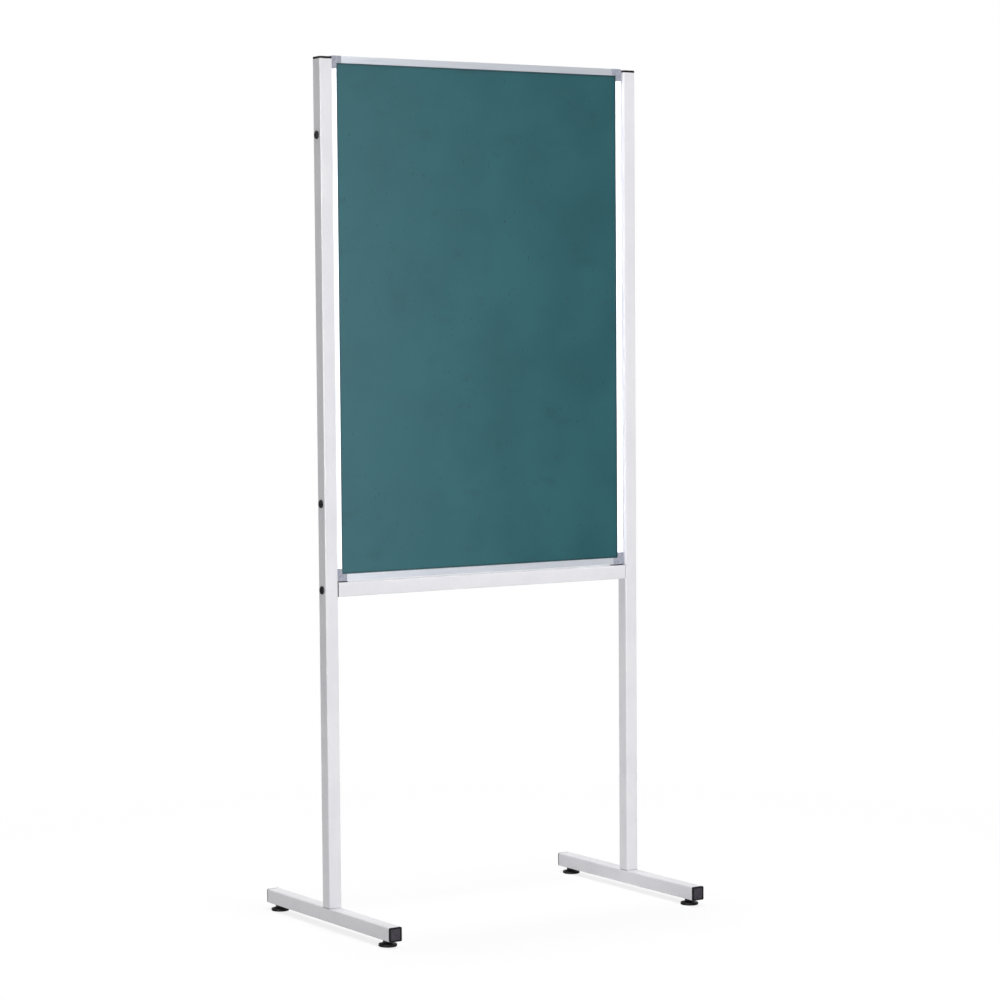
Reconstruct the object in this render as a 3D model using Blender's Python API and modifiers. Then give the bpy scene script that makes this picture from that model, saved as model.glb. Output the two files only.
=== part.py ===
"""A free-standing menu board: a framed writing panel between two posts on T-shaped feet.

Lengths are in metres. X runs along the board's width, Y from the front to the rear and Z up.
The origin is on the floor, midway between the two posts.
"""

import math

import bmesh
import bpy
from mathutils import Matrix, Vector

# Fits, cuts and roundness that the whole board shares.
CLEARANCE = 0.0003  # seating and running gap between neighbouring pieces
CUT_OVERRUN = 0.002  # how far a cutter runs past the face that it opens
MERGE_DISTANCE = 0.00001
CORNER_SEGMENTS = 3  # along each rounded corner that shows
CHAMFER_SEGMENTS = 1  # along the corners of pieces that fit inside a tube
EDGE_SEGMENTS = 2
ROUND_SEGMENTS = 16
HEXAGON = 6
SMOOTH_ANGLE = math.radians(35)
BEVEL_ANGLE = math.radians(60)

# Square steel tube that the posts, feet and crossbar are cut from.
TUBE_SIDE = 0.030
TUBE_WALL = 0.0015
TUBE_CORNER_RADIUS = 0.003

# The stand as a whole.
STAND_HEIGHT = 1.829  # floor to the top of the post caps
POST_SPACING = 0.775  # between the centre lines of the posts
FOOT_LENGTH = 0.515  # front to rear, over the end plugs
GROUND_GAP = 0.0135  # floor to the underside of the foot tubes

# Moulded plugs that close the tube ends.
PLUG_FLANGE = 0.0027
CAP_FLANGE = 0.0042  # the caps on the posts are thicker than the plugs of the feet
PLUG_EDGE_BEVEL = 0.0006
PLUG_DEPTH = 0.015
PLUG_WALL = 0.002
PLUG_SKIRT_STEP = 0.0009  # skirt to the tips of the ribs that grip the tube
PLUG_RIB = 0.001
PLUG_RIBS = 2
PLUG_RIM = 0.0034
PLUG_RECESS = 0.0011

# Steel block that takes the foot bolt in the lower end of each post.
BASE_INSERT_LENGTH = 0.025

# Bolt that holds a post on its foot, reached through a hole in the foot's underside.
FOOT_BOLT_RADIUS = 0.004
FOOT_BOLT_HEAD_RADIUS = 0.0065
FOOT_BOLT_HEAD = 0.005
FOOT_BOLT_END_GAP = 0.002  # bolt tip to the top of the base insert
FOOT_BOLT_SOCKET_RADIUS = 0.0034
FOOT_BOLT_SOCKET_DEPTH = 0.003
FOOT_BOLT_CHAMFER = 0.0006
FOOT_ACCESS_RADIUS = 0.0075

# Rivet nut that carries each levelling screw in the foot's lower wall.
LEVEL_INSET = 0.032  # end of the foot to the axis of its levelling screw
RIVET_NUT_RADIUS = 0.0055
RIVET_NUT_FLANGE_RADIUS = 0.008
RIVET_NUT_FLANGE = 0.001
RIVET_NUT_BULGE_RADIUS = 0.007
RIVET_NUT_BULGE = 0.002
RIVET_NUT_LENGTH = 0.0135  # above the foot's lower wall

# Levelling screw: a threaded stud with a hexagon to turn it by and a disc that the pad holds.
STUD_RADIUS = 0.004
STUD_TOP_GAP = 0.002  # stud tip to the inside of the foot's upper wall
STUD_CHAMFER = 0.0008
STUD_HEXAGON_RADIUS = 0.0101  # across the corners
STUD_HEXAGON = 0.004
STUD_DISC_RADIUS = 0.0067
STUD_DISC = 0.0015

# Levelling pad: a moulded disc with a low cone, snapped over the screw's disc.
PAD_RADIUS = 0.01935
PAD_EDGE = 0.0048
PAD_EDGE_ROUND = 0.0009
PAD_TOP_RADIUS = 0.0112
PAD_SOLE = 0.0015
PAD_SEGMENTS = 24

# Crossbar ends and the bolts that enter them and the board.
CROSSBAR_INSERT_LENGTH = 0.022
CROSSBAR_BOLT_ENGAGEMENT = 0.018
BOLT_RADIUS = 0.0025
BOLT_HEAD_RADIUS = 0.00875
BOLT_HEAD = 0.0024
BOLT_HEAD_CHAMFER = 0.0008
BOLT_TIP_CHAMFER = 0.0006
BOLT_SOCKET_RADIUS = 0.0023
BOLT_SOCKET_DEPTH = 0.0025

# The board between the posts.
BOARD_HEIGHT = 1.0955
BOARD_TOP_STEP = 0.0025  # top of the post caps to the board's upper edge
BOARD_BOLT_INSET = 0.164  # end of the board to its nearest bolt
BOARD_PAD_LENGTH = 0.028  # pads between the lower corner pieces and the crossbar
BOARD_PAD_THICKNESS = 0.0015

# Extruded frame rail, hollow on its outer side and grooved for the panel on its inner side.
RAIL_FACE = 0.0145
RAIL_DEPTH = 0.013
RAIL_WALL = 0.0014  # outer wall
RAIL_SIDE_WALL = 0.0012  # front and rear walls beside the chamber
RAIL_LIP = 0.0018  # front and rear lips over the panel's edge
RAIL_WEB = 0.0012
RAIL_CHAMBER = 0.0066
RAIL_EDGE_RADIUS = 0.0013
RAIL_LIP_RADIUS = 0.001
RAIL_LINE_INSET = 0.0045  # inner edge of the face to the fine line along it
RAIL_LINE_WIDTH = 0.0008
RAIL_LINE_DEPTH = 0.0004
RAIL_ARC_STEPS = 3

# Nut bar that the board bolts enter, lying in the chamber of each upright rail.
NUT_BAR_LENGTH = 0.026

# Moulded corner pieces that join the rails.
CORNER_LEG = 0.026
CORNER_PROUD = 0.0005  # how far it stands outside the rails' outer faces
CORNER_FACE_PROUD = 0.0005  # how far it stands in front of the rails
CORNER_OUTER_RADIUS = 0.0045
CORNER_BEVEL = 0.0006
CORNER_TONGUE = 0.028
CORNER_ARC_STEPS = 5

# Writing panel: a light core between two enamelled steel sheets.
SHEET_THICKNESS = 0.0006

# Heights and places that follow from the sizes above.
FOOT_CENTRE_Z = GROUND_GAP + TUBE_SIDE / 2
FOOT_TOP_Z = GROUND_GAP + TUBE_SIDE
FOOT_TUBE_LENGTH = FOOT_LENGTH - 2 * (PLUG_FLANGE + CLEARANCE)
POST_BOTTOM_Z = FOOT_TOP_Z + CLEARANCE
POST_TOP_Z = STAND_HEIGHT - CAP_FLANGE - CLEARANCE
POST_LENGTH = POST_TOP_Z - POST_BOTTOM_Z
POST_X = POST_SPACING / 2
POST_INNER_X = POST_X - TUBE_SIDE / 2
POST_OUTER_X = POST_X + TUBE_SIDE / 2
CROSSBAR_LENGTH = 2 * (POST_INNER_X - CLEARANCE)
TUBE_BORE = TUBE_SIDE - 2 * TUBE_WALL
INSERT_SIDE = TUBE_BORE - 2 * CLEARANCE
INSERT_RADIUS = TUBE_CORNER_RADIUS - TUBE_WALL
BOARD_TOP_Z = STAND_HEIGHT + BOARD_TOP_STEP
BOARD_BOTTOM_Z = BOARD_TOP_Z - BOARD_HEIGHT
BOARD_Z = (BOARD_BOTTOM_Z + BOARD_TOP_Z) / 2
BOARD_PAD_TOP = BOARD_BOTTOM_Z - CORNER_PROUD - CLEARANCE
CROSSBAR_TOP = BOARD_PAD_TOP - BOARD_PAD_THICKNESS - CLEARANCE
CROSSBAR_Z = CROSSBAR_TOP - TUBE_SIDE / 2
BOARD_HALF_WIDTH = POST_INNER_X - CORNER_PROUD - CLEARANCE  # the corner pieces meet the posts
BOARD_BOLT_HEIGHTS = (BOARD_BOTTOM_Z + BOARD_BOLT_INSET, BOARD_TOP_Z - BOARD_BOLT_INSET)
LEVEL_Y = FOOT_LENGTH / 2 - LEVEL_INSET
BOLT_HOLE_RADIUS = BOLT_RADIUS + CLEARANCE
RAIL_GROOVE = RAIL_WALL + RAIL_CHAMBER + RAIL_WEB  # outer face to the bottom of the groove
RAIL_GROOVE_WIDTH = RAIL_DEPTH - 2 * RAIL_LIP
RAIL_CHAMBER_DEPTH = RAIL_DEPTH - 2 * RAIL_SIDE_WALL
PANEL_WIDTH = 2 * (BOARD_HALF_WIDTH - RAIL_GROOVE - CLEARANCE)
PANEL_HEIGHT = BOARD_HEIGHT - 2 * (RAIL_GROOVE + CLEARANCE)
PANEL_THICKNESS = RAIL_GROOVE_WIDTH - 2 * CLEARANCE
CORE_THICKNESS = PANEL_THICKNESS - 2 * (SHEET_THICKNESS + CLEARANCE)
SHEET_Y = (PANEL_THICKNESS - SHEET_THICKNESS) / 2

# Levelling feet, stacked up from the floor.
PAD_CAVITY_TOP = PAD_SOLE + STUD_DISC + 2 * CLEARANCE
RIVET_FLANGE_BOTTOM = GROUND_GAP - CLEARANCE - RIVET_NUT_FLANGE
STUD_HEXAGON_TOP = RIVET_FLANGE_BOTTOM - CLEARANCE
STUD_HEXAGON_BOTTOM = STUD_HEXAGON_TOP - STUD_HEXAGON
PAD_HEIGHT = STUD_HEXAGON_BOTTOM - CLEARANCE
STUD_TIP = FOOT_TOP_Z - TUBE_WALL - STUD_TOP_GAP

SIDES = (("left", -1), ("right", 1))
ENDS = (("front", -1), ("rear", 1))


def new_collection(name):
    collection = bpy.data.collections.new(name)
    bpy.context.scene.collection.children.link(collection)
    return collection


def clear_scene():
    for obj in list(bpy.data.objects):
        bpy.data.objects.remove(obj)


def material(name, colour, roughness, metallic=0):
    made = bpy.data.materials.new(name)
    made.use_nodes = True
    shader = made.node_tree.nodes["Principled BSDF"]
    shader.inputs["Base Color"].default_value = (*colour, 1)
    shader.inputs["Roughness"].default_value = roughness
    shader.inputs["Metallic"].default_value = metallic
    made.diffuse_color = (*colour, 1)
    return made


def mesh_from(bm, name):
    mesh = bpy.data.meshes.new(name)
    bm.to_mesh(mesh)
    bm.free()
    return mesh


def part(name, mesh, finish, location=(0, 0, 0), rotation=(0, 0, 0)):
    """Puts one piece in the board's collection, with its own finish."""
    if not mesh.materials:
        mesh.materials.append(finish)
    obj = bpy.data.objects.new(name, mesh)
    obj.location = location
    obj.rotation_euler = rotation
    parts.objects.link(obj)
    return obj


def combine(obj, mesh, operation):
    """Joins a shape to a piece or cuts it away, with an object of its own that stays hidden."""
    other = bpy.data.objects.new(mesh.name, mesh)
    other.hide_render = True
    other.display_type = "WIRE"
    cutters.objects.link(other)
    boolean = obj.modifiers.new(f"{operation.lower()}_{mesh.name}", "BOOLEAN")
    boolean.operation = operation
    boolean.solver = "EXACT"
    boolean.object = other


def baked(obj, smooth=False):
    """The piece's mesh with its modifiers applied. The working object is removed."""
    bpy.context.view_layer.update()
    graph = bpy.context.evaluated_depsgraph_get()
    mesh = bpy.data.meshes.new_from_object(obj.evaluated_get(graph))
    mesh.name = obj.name
    bpy.data.objects.remove(obj)
    bm = bmesh.new()
    bm.from_mesh(mesh)
    bmesh.ops.remove_doubles(bm, verts=bm.verts, dist=MERGE_DISTANCE)
    bm.to_mesh(mesh)
    bm.free()
    if smooth:
        mesh.shade_smooth()
        mesh.set_sharp_from_angle(angle=SMOOTH_ANGLE)
    return mesh


def box_mesh(name, size, centre=(0, 0, 0)):
    bm = bmesh.new()
    place = Matrix.Translation(centre) @ Matrix.Diagonal((*size, 1))
    bmesh.ops.create_cube(bm, size=1, matrix=place)
    return mesh_from(bm, name)


def bar_bmesh(side, length, radius, centre_z=0, segments=CORNER_SEGMENTS):
    """A square bar along Z with its four long edges rounded."""
    bm = bmesh.new()
    place = Matrix.Translation((0, 0, centre_z)) @ Matrix.Diagonal((side, side, length, 1))
    bmesh.ops.create_cube(bm, size=1, matrix=place)
    long_edges = [edge for edge in bm.edges if edge.verts[0].co.xy == edge.verts[1].co.xy]
    bmesh.ops.bevel(
        bm, geom=long_edges, offset=radius, segments=segments, profile=0.5, affect="EDGES"
    )
    return bm


def inner_bar_mesh(name, side, length, centre_z=0):
    """A bar with plain chamfers, which clears the rounded corners inside a tube."""
    bm = bar_bmesh(side, length, INSERT_RADIUS, centre_z, CHAMFER_SEGMENTS)
    return mesh_from(bm, name)


def tube(name, length, location, rotation=(0, 0, 0)):
    """A length of the square tube, along its own Z, open at both ends."""
    bm = bar_bmesh(TUBE_SIDE, length, TUBE_CORNER_RADIUS)
    ends = [face for face in bm.faces if abs(face.normal.z) > abs(face.normal.x + face.normal.y)]
    bmesh.ops.delete(bm, geom=ends, context="FACES_ONLY")
    obj = part(name, mesh_from(bm, name), steel_coat, location, rotation)
    wall = obj.modifiers.new("wall", "SOLIDIFY")
    wall.thickness = TUBE_WALL
    wall.offset = -1
    wall.use_even_offset = True
    return obj


def rods_mesh(name, rods, segments=ROUND_SEGMENTS):
    """Round or six-sided rods in one mesh. Each is (centre, axis, radius, length)."""
    bm = bmesh.new()
    for centre, axis, radius, length in rods:
        turn = Vector((0, 0, 1)).rotation_difference(Vector(axis)).to_matrix().to_4x4()
        bmesh.ops.create_cone(
            bm,
            cap_ends=True,
            segments=segments,
            radius1=radius,
            radius2=radius,
            depth=length,
            matrix=Matrix.Translation(centre) @ turn,
        )
    return mesh_from(bm, name)


def turned(name, profile, closed=False, segments=ROUND_SEGMENTS):
    """A working object turned about Z from (radius, height) points, run down the outer side."""
    mesh = bpy.data.meshes.new(name)
    edges = [(i, i + 1) for i in range(len(profile) - 1)]
    if closed:
        edges.append((len(profile) - 1, 0))
    mesh.from_pydata([(radius, 0, height) for radius, height in profile], edges, [])
    obj = bpy.data.objects.new(name, mesh)
    parts.objects.link(obj)
    screw = obj.modifiers.new("turn", "SCREW")
    screw.steps = segments
    screw.render_steps = segments
    screw.use_merge_vertices = True
    screw.merge_threshold = MERGE_DISTANCE
    screw.use_smooth_shade = False
    return obj


def flat_outline(name, outlines, thickness):
    """A working object filled from closed outlines in XY and extruded evenly along Z."""
    curve = bpy.data.curves.new(name, "CURVE")
    curve.dimensions = "2D"
    curve.fill_mode = "BOTH"
    curve.extrude = thickness / 2
    for outline in outlines:
        spline = curve.splines.new("POLY")
        spline.points.add(len(outline) - 1)
        for point, (x, y) in zip(spline.points, outline):
            point.co = (x, y, 0, 1)
        spline.use_cyclic_u = True
    obj = bpy.data.objects.new(name, curve)
    parts.objects.link(obj)
    return obj


def arc(centre, radius, start, sweep, steps):
    """Points on an arc, with angles in quarter turns."""
    points = []
    for step in range(steps + 1):
        angle = (start + sweep * step / steps) * math.pi / 2
        points.append((centre[0] + radius * math.cos(angle), centre[1] + radius * math.sin(angle)))
    return points


def build_feet():
    """Foot tubes with their rivet nuts, end plugs and the bolts that hold the posts."""
    bolt_hole = FOOT_BOLT_RADIUS + CLEARANCE
    nut_hole = RIVET_NUT_RADIUS + CLEARANCE
    wall_cut = TUBE_WALL + 2 * CUT_OVERRUN
    upper_wall_z = FOOT_TOP_Z - TUBE_WALL / 2
    lower_wall_z = GROUND_GAP + TUBE_WALL / 2
    up = (0, 0, 1)
    plug = plug_mesh("foot_plug", PLUG_FLANGE, PLUG_RECESS)
    bolt = foot_bolt_mesh()
    nut = rivet_nut_mesh()
    for side, x_sign in SIDES:
        x = x_sign * POST_X
        holes = [
            ((x, 0, upper_wall_z), up, bolt_hole, wall_cut),
            ((x, 0, lower_wall_z), up, FOOT_ACCESS_RADIUS, wall_cut),
            ((x, -LEVEL_Y, lower_wall_z), up, nut_hole, wall_cut),
            ((x, LEVEL_Y, lower_wall_z), up, nut_hole, wall_cut),
        ]
        lying = (math.pi / 2, 0, 0)
        foot = tube(f"foot_tube_{side}", FOOT_TUBE_LENGTH, (x, 0, FOOT_CENTRE_Z), lying)
        combine(foot, rods_mesh(f"foot_holes_{side}", holes), "DIFFERENCE")
        part(f"foot_bolt_{side}", bolt, zinc, (x, 0, FOOT_TOP_Z - TUBE_WALL - CLEARANCE))
        for end, y_sign in ENDS:
            turn = (-y_sign * math.pi / 2, 0, 0)
            end_y = y_sign * FOOT_TUBE_LENGTH / 2
            part(f"foot_plug_{side}_{end}", plug, black_plastic, (x, end_y, FOOT_CENTRE_Z), turn)
            part(f"foot_insert_{side}_{end}", nut, zinc, (x, y_sign * LEVEL_Y, 0))


def plug_mesh(name, flange, recess):
    """A tube plug that faces +Z: a flange, a hollow skirt and thin ribs that grip the bore."""
    flange_z = CLEARANCE + flange / 2
    flange_top = CLEARANCE + flange
    bm = bar_bmesh(TUBE_SIDE, flange, TUBE_CORNER_RADIUS, flange_z)
    face_edges = [edge for edge in bm.edges if min(vert.co.z for vert in edge.verts) > flange_z]
    bmesh.ops.bevel(
        bm,
        geom=face_edges,
        offset=PLUG_EDGE_BEVEL,
        segments=EDGE_SEGMENTS,
        profile=0.5,
        affect="EDGES",
    )
    plug = part(name, mesh_from(bm, name), black_plastic)
    skirt_side = INSERT_SIDE - 2 * PLUG_SKIRT_STEP
    skirt_length = PLUG_DEPTH + flange_z
    skirt_z = (flange_z - PLUG_DEPTH) / 2
    combine(plug, inner_bar_mesh(f"{name}_skirt", skirt_side, skirt_length, skirt_z), "UNION")
    rib_pitch = PLUG_DEPTH / (PLUG_RIBS + 1)
    for index in range(PLUG_RIBS):
        rib_z = -rib_pitch * (index + 1)
        rib = inner_bar_mesh(f"{name}_rib_{index}", INSERT_SIDE, PLUG_RIB, rib_z)
        combine(plug, rib, "UNION")
    hollow_side = skirt_side - 2 * PLUG_WALL
    hollow_z = -PLUG_DEPTH / 2 - CUT_OVERRUN / 2
    hollow_size = (hollow_side, hollow_side, PLUG_DEPTH + CUT_OVERRUN)
    combine(plug, box_mesh(f"{name}_hollow", hollow_size, (0, 0, hollow_z)), "DIFFERENCE")
    if recess:
        recess_side = TUBE_SIDE - 2 * PLUG_RIM
        recess_height = recess + CUT_OVERRUN
        recess_z = flange_top - recess + recess_height / 2
        bm = bar_bmesh(recess_side, recess_height, TUBE_CORNER_RADIUS / 2, recess_z)
        combine(plug, mesh_from(bm, f"{name}_recess"), "DIFFERENCE")
    return baked(plug)


def foot_bolt_mesh():
    """A bolt that points up from Z = 0, under which its socket head hangs."""
    tip = TUBE_WALL + 2 * CLEARANCE + BASE_INSERT_LENGTH - FOOT_BOLT_END_GAP
    profile = [
        (0, tip),
        (FOOT_BOLT_RADIUS - FOOT_BOLT_CHAMFER, tip),
        (FOOT_BOLT_RADIUS, tip - FOOT_BOLT_CHAMFER),
        (FOOT_BOLT_RADIUS, 0),
        (FOOT_BOLT_HEAD_RADIUS, 0),
        (FOOT_BOLT_HEAD_RADIUS, FOOT_BOLT_CHAMFER - FOOT_BOLT_HEAD),
        (FOOT_BOLT_HEAD_RADIUS - FOOT_BOLT_CHAMFER, -FOOT_BOLT_HEAD),
        (0, -FOOT_BOLT_HEAD),
    ]
    bolt = turned("foot_bolt", profile)
    depth = FOOT_BOLT_SOCKET_DEPTH + CUT_OVERRUN
    centre = (0, 0, FOOT_BOLT_SOCKET_DEPTH - FOOT_BOLT_HEAD - depth / 2)
    socket = [(centre, (0, 0, 1), FOOT_BOLT_SOCKET_RADIUS, depth)]
    combine(bolt, rods_mesh("foot_bolt_socket", socket, HEXAGON), "DIFFERENCE")
    return baked(bolt, smooth=True)


def rivet_nut_mesh():
    """A rivet nut set in the foot's lower wall, with its height measured from the floor."""
    bore = STUD_RADIUS + CLEARANCE
    wall_top = GROUND_GAP + TUBE_WALL
    bulge_bottom = wall_top + CLEARANCE
    top = wall_top + RIVET_NUT_LENGTH
    profile = [
        (bore, top),
        (RIVET_NUT_RADIUS, top),
        (RIVET_NUT_RADIUS, bulge_bottom + RIVET_NUT_BULGE),
        (RIVET_NUT_BULGE_RADIUS, bulge_bottom + RIVET_NUT_BULGE / 2),
        (RIVET_NUT_RADIUS, bulge_bottom),
        (RIVET_NUT_RADIUS, GROUND_GAP - CLEARANCE),
        (RIVET_NUT_FLANGE_RADIUS, GROUND_GAP - CLEARANCE),
        (RIVET_NUT_FLANGE_RADIUS, RIVET_FLANGE_BOTTOM),
        (bore, RIVET_FLANGE_BOTTOM),
    ]
    return baked(turned("foot_insert", profile, closed=True), smooth=True)


def levelling_screw_mesh():
    """The stud, the hexagon that turns it and the disc held by the pad, above the floor."""
    disc_bottom = PAD_SOLE + CLEARANCE
    profile = [
        (0, STUD_TIP),
        (STUD_RADIUS - STUD_CHAMFER, STUD_TIP),
        (STUD_RADIUS, STUD_TIP - STUD_CHAMFER),
        (STUD_RADIUS, disc_bottom + STUD_DISC),
        (STUD_DISC_RADIUS, disc_bottom + STUD_DISC),
        (STUD_DISC_RADIUS, disc_bottom),
        (0, disc_bottom),
    ]
    screw = turned("levelling_screw", profile)
    centre = (0, 0, (STUD_HEXAGON_BOTTOM + STUD_HEXAGON_TOP) / 2)
    hexagon = [(centre, (0, 0, 1), STUD_HEXAGON_RADIUS, STUD_HEXAGON)]
    combine(screw, rods_mesh("levelling_hexagon", hexagon, HEXAGON), "UNION")
    return baked(screw, smooth=True)


def levelling_pad_mesh():
    """The pad's outer form and, in the same profile, the cavity that holds the screw's disc."""
    mouth = STUD_RADIUS + CLEARANCE
    cavity = STUD_DISC_RADIUS + CLEARANCE
    rounding = PAD_RADIUS - PAD_EDGE_ROUND
    profile = [
        (0, PAD_SOLE),
        (cavity, PAD_SOLE),
        (cavity, PAD_CAVITY_TOP),
        (mouth, PAD_CAVITY_TOP),
        (mouth, PAD_HEIGHT),
        (PAD_TOP_RADIUS, PAD_HEIGHT),
        (rounding, PAD_EDGE + PAD_EDGE_ROUND),
        (PAD_RADIUS, PAD_EDGE),
        (PAD_RADIUS, PAD_EDGE_ROUND),
        (rounding, 0),
        (0, 0),
    ]
    return baked(turned("levelling_pad", profile, segments=PAD_SEGMENTS), smooth=True)


def build_levelling_feet():
    """Four pads that travel down with their screws. Each origin is on its screw's axis."""
    pad_mesh = levelling_pad_mesh()
    screw_mesh = levelling_screw_mesh()
    for side, x_sign in SIDES:
        for end, y_sign in ENDS:
            place = (x_sign * POST_X, y_sign * LEVEL_Y, 0)
            pad = part(f"levelling_pad_{side}_{end}", pad_mesh, black_plastic, place)
            screw = part(f"levelling_screw_{side}_{end}", screw_mesh, black_steel)
            screw.parent = pad


def insert_mesh(name, length, bore):
    """A block that fills the tube's bore, centred on its own Z axis and drilled along it."""
    block = part(name, inner_bar_mesh(name, INSERT_SIDE, length), zinc)
    drill = [((0, 0, 0), (0, 0, 1), bore, length + 2 * CUT_OVERRUN)]
    combine(block, rods_mesh(f"{name}_bore", drill), "DIFFERENCE")
    return baked(block)


def build_posts():
    """Two upright tubes, drilled across for the bolts, with a cap and a base insert each."""
    cap = plug_mesh("post_cap", CAP_FLANGE, 0)
    insert = insert_mesh("post_base_insert", BASE_INSERT_LENGTH, FOOT_BOLT_RADIUS + CLEARANCE)
    insert_z = POST_BOTTOM_Z + BASE_INSERT_LENGTH / 2
    across = TUBE_SIDE + 2 * CUT_OVERRUN
    for side, x_sign in SIDES:
        x = x_sign * POST_X
        name = f"post_{side}"
        post = tube(name, POST_LENGTH, (x, 0, (POST_BOTTOM_Z + POST_TOP_Z) / 2))
        heights = (CROSSBAR_Z, *BOARD_BOLT_HEIGHTS)
        holes = [((x, 0, height), (1, 0, 0), BOLT_HOLE_RADIUS, across) for height in heights]
        combine(post, rods_mesh(f"{name}_holes", holes), "DIFFERENCE")
        part(f"post_cap_{side}", cap, black_plastic, (x, 0, POST_TOP_Z))
        part(f"post_base_insert_{side}", insert, zinc, (x, 0, insert_z))


def bolt_mesh(name, length):
    """A flat-headed connector bolt along -Z, with the underside of its head at Z = 0."""
    profile = [
        (0, BOLT_HEAD),
        (BOLT_HEAD_RADIUS - BOLT_HEAD_CHAMFER, BOLT_HEAD),
        (BOLT_HEAD_RADIUS, BOLT_HEAD - BOLT_HEAD_CHAMFER),
        (BOLT_HEAD_RADIUS, 0),
        (BOLT_RADIUS, 0),
        (BOLT_RADIUS, BOLT_TIP_CHAMFER - length),
        (BOLT_RADIUS - BOLT_TIP_CHAMFER, -length),
        (0, -length),
    ]
    bolt = turned(name, profile)
    depth = BOLT_SOCKET_DEPTH + CUT_OVERRUN
    centre = (0, 0, BOLT_HEAD - BOLT_SOCKET_DEPTH + depth / 2)
    socket = [(centre, (0, 0, 1), BOLT_SOCKET_RADIUS, depth)]
    combine(bolt, rods_mesh(f"{name}_socket", socket, HEXAGON), "DIFFERENCE")
    return baked(bolt, smooth=True)


def outward(x_sign):
    """The turn that points a piece's +Z out of the left or the right post."""
    return (0, x_sign * math.pi / 2, 0)


def build_crossbar():
    """The bar under the board, with a threaded insert in each end and a bolt through each post."""
    tube("crossbar", CROSSBAR_LENGTH, (0, 0, CROSSBAR_Z), (0, math.pi / 2, 0))
    insert = insert_mesh("crossbar_insert", CROSSBAR_INSERT_LENGTH, BOLT_HOLE_RADIUS)
    bolt_length = TUBE_SIDE + 2 * CLEARANCE + CROSSBAR_BOLT_ENGAGEMENT
    bolt = bolt_mesh("crossbar_bolt", bolt_length)
    insert_x = (CROSSBAR_LENGTH - CROSSBAR_INSERT_LENGTH) / 2
    head_x = POST_OUTER_X + CLEARANCE
    for side, x_sign in SIDES:
        turn = outward(x_sign)
        part(f"crossbar_insert_{side}", insert, zinc, (x_sign * insert_x, 0, CROSSBAR_Z), turn)
        part(f"crossbar_bolt_{side}", bolt, black_steel, (x_sign * head_x, 0, CROSSBAR_Z), turn)


def rail_face_line(sign):
    """The face of a rail from its outer edge to its inner lip, on the side that sign gives."""
    half = RAIL_DEPTH / 2
    edge = (RAIL_EDGE_RADIUS, half - RAIL_EDGE_RADIUS)
    lip = (RAIL_FACE - RAIL_LIP_RADIUS, half - RAIL_LIP_RADIUS)
    line = RAIL_FACE - RAIL_LINE_INSET
    points = arc(edge, RAIL_EDGE_RADIUS, 2, -1, RAIL_ARC_STEPS)
    points += [
        (line - RAIL_LINE_WIDTH / 2, half),
        (line, half - RAIL_LINE_DEPTH),
        (line + RAIL_LINE_WIDTH / 2, half),
    ]
    points += arc(lip, RAIL_LIP_RADIUS, 1, -1, RAIL_ARC_STEPS)
    points += [(RAIL_FACE, half - RAIL_LIP), (RAIL_GROOVE, half - RAIL_LIP)]
    return [(x, sign * y) for x, y in points]


def rail_mesh(name, length):
    """A rail along Z. Its outer face is at X = 0 and its groove opens towards +X."""
    half_bore = RAIL_CHAMBER_DEPTH / 2
    inner = RAIL_WALL + RAIL_CHAMBER
    chamber = [
        (RAIL_WALL, -half_bore),
        (inner, -half_bore),
        (inner, half_bore),
        (RAIL_WALL, half_bore),
    ]
    outline = rail_face_line(1) + rail_face_line(-1)[::-1]
    return baked(flat_outline(name, [outline, chamber], length))


def build_rails():
    """Four rails between the corner pieces. The upright ones are drilled for the board bolts."""
    joint = CORNER_LEG + CLEARANCE
    upright_length = BOARD_HEIGHT - 2 * joint
    level_length = 2 * (BOARD_HALF_WIDTH - joint)
    drill_length = RAIL_WALL + 2 * CUT_OVERRUN
    for side, x_sign in SIDES:
        name = f"frame_rail_{side}"
        turn = (0, 0, math.pi * (1 + x_sign) / 2)
        mesh = rail_mesh(name, upright_length)
        rail = part(name, mesh, aluminium, (x_sign * BOARD_HALF_WIDTH, 0, BOARD_Z), turn)
        drill_x = x_sign * (BOARD_HALF_WIDTH - RAIL_WALL / 2)
        holes = [
            ((drill_x, 0, height), (1, 0, 0), BOLT_HOLE_RADIUS, drill_length)
            for height in BOARD_BOLT_HEIGHTS
        ]
        combine(rail, rods_mesh(f"{name}_holes", holes), "DIFFERENCE")
    for level, z, turn in (("top", BOARD_TOP_Z, 1), ("bottom", BOARD_BOTTOM_Z, -1)):
        name = f"frame_rail_{level}"
        mesh = rail_mesh(name, level_length)
        part(name, mesh, aluminium, (0, 0, z), (0, turn * math.pi / 2, 0))


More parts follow.
